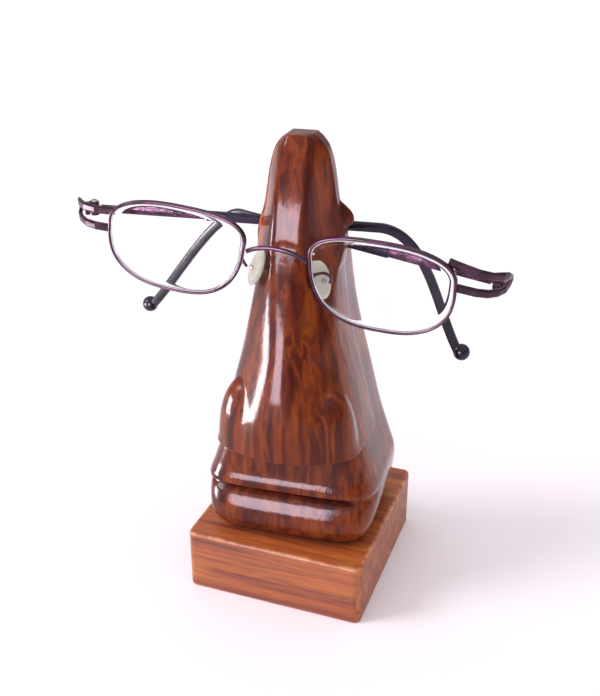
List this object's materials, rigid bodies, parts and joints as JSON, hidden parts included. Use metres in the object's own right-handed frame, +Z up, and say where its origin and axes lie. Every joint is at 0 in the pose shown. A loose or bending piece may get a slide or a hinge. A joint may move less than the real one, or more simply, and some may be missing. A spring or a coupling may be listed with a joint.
{
  "type": "eyeglasses display stand",
  "caption": "Carved wooden stand shaped like a nose and lips on a square base, holding a pair of oval wire spectacles with folded temples.",
  "frame": {"origin": "centre of the base's underside, where the stand rests on a table", "axes": "+Z up from the base to the top of the forehead, -Y to the front where the nose points, +X to the viewer's right"},
  "size_m": [0.1479, 0.0704, 0.1604],
  "materials": {
    "rosewood": "clear gloss lacquer over carved wood",
    "hardwood": "satin",
    "zinc_steel": "zinc plated",
    "plum_wire": "thin metallic enamel",
    "nickel_silver": "bright",
    "lens": "clear, coated",
    "pad_silicone": "translucent satin",
    "black_sleeve": "gloss"
  },
  "bodies": {
    "stand": {"base_block": "hardwood", "nose_carving": "rosewood", "fixing_screw_front": "zinc_steel", "fixing_screw_rear": "zinc_steel"},
    "spectacles": {"bridge": "plum_wire", "left_rim": "plum_wire", "left_lens": "lens", "left_nose_pad": "pad_silicone", "left_pad_screw": "nickel_silver", "left_pad_arm": "plum_wire", "left_end_piece": "plum_wire", "left_hinge_leaf": "plum_wire", "left_hinge_screw": "nickel_silver", "right_rim": "plum_wire", "right_lens": "lens", "right_nose_pad": "pad_silicone", "right_pad_screw": "nickel_silver", "right_pad_arm": "plum_wire", "right_end_piece": "plum_wire", "right_hinge_leaf": "plum_wire", "right_hinge_screw": "nickel_silver"},
    "left_temple": {"left_temple_bar": "plum_wire", "left_temple_sleeve": "black_sleeve"},
    "right_temple": {"right_temple_bar": "plum_wire", "right_temple_sleeve": "black_sleeve"}
  },
  "joints": [
    {"name": "spectacles_lift", "type": "slide", "parent": "stand", "child": "spectacles", "axis": [0, 0, 1], "range_m": [0, 0.1]},
    {"name": "left_temple_hinge", "type": "hinge", "parent": "spectacles", "child": "left_temple", "pos_m": [-0.06726, -0.01821, 0.13342], "axis": [0.1028, -0.099, 0.9898], "range_deg": [0, 78]},
    {"name": "right_temple_hinge", "type": "hinge", "parent": "spectacles", "child": "right_temple", "pos_m": [0.06489, -0.0073, 0.12079], "axis": [-0.1028, 0.099, -0.9898], "range_deg": [0, 66.4]}
  ],
  "couplings": [
    {"joint": "right_temple_hinge", "follows": "left_temple_hinge", "ratio": 0.85}
  ]
}
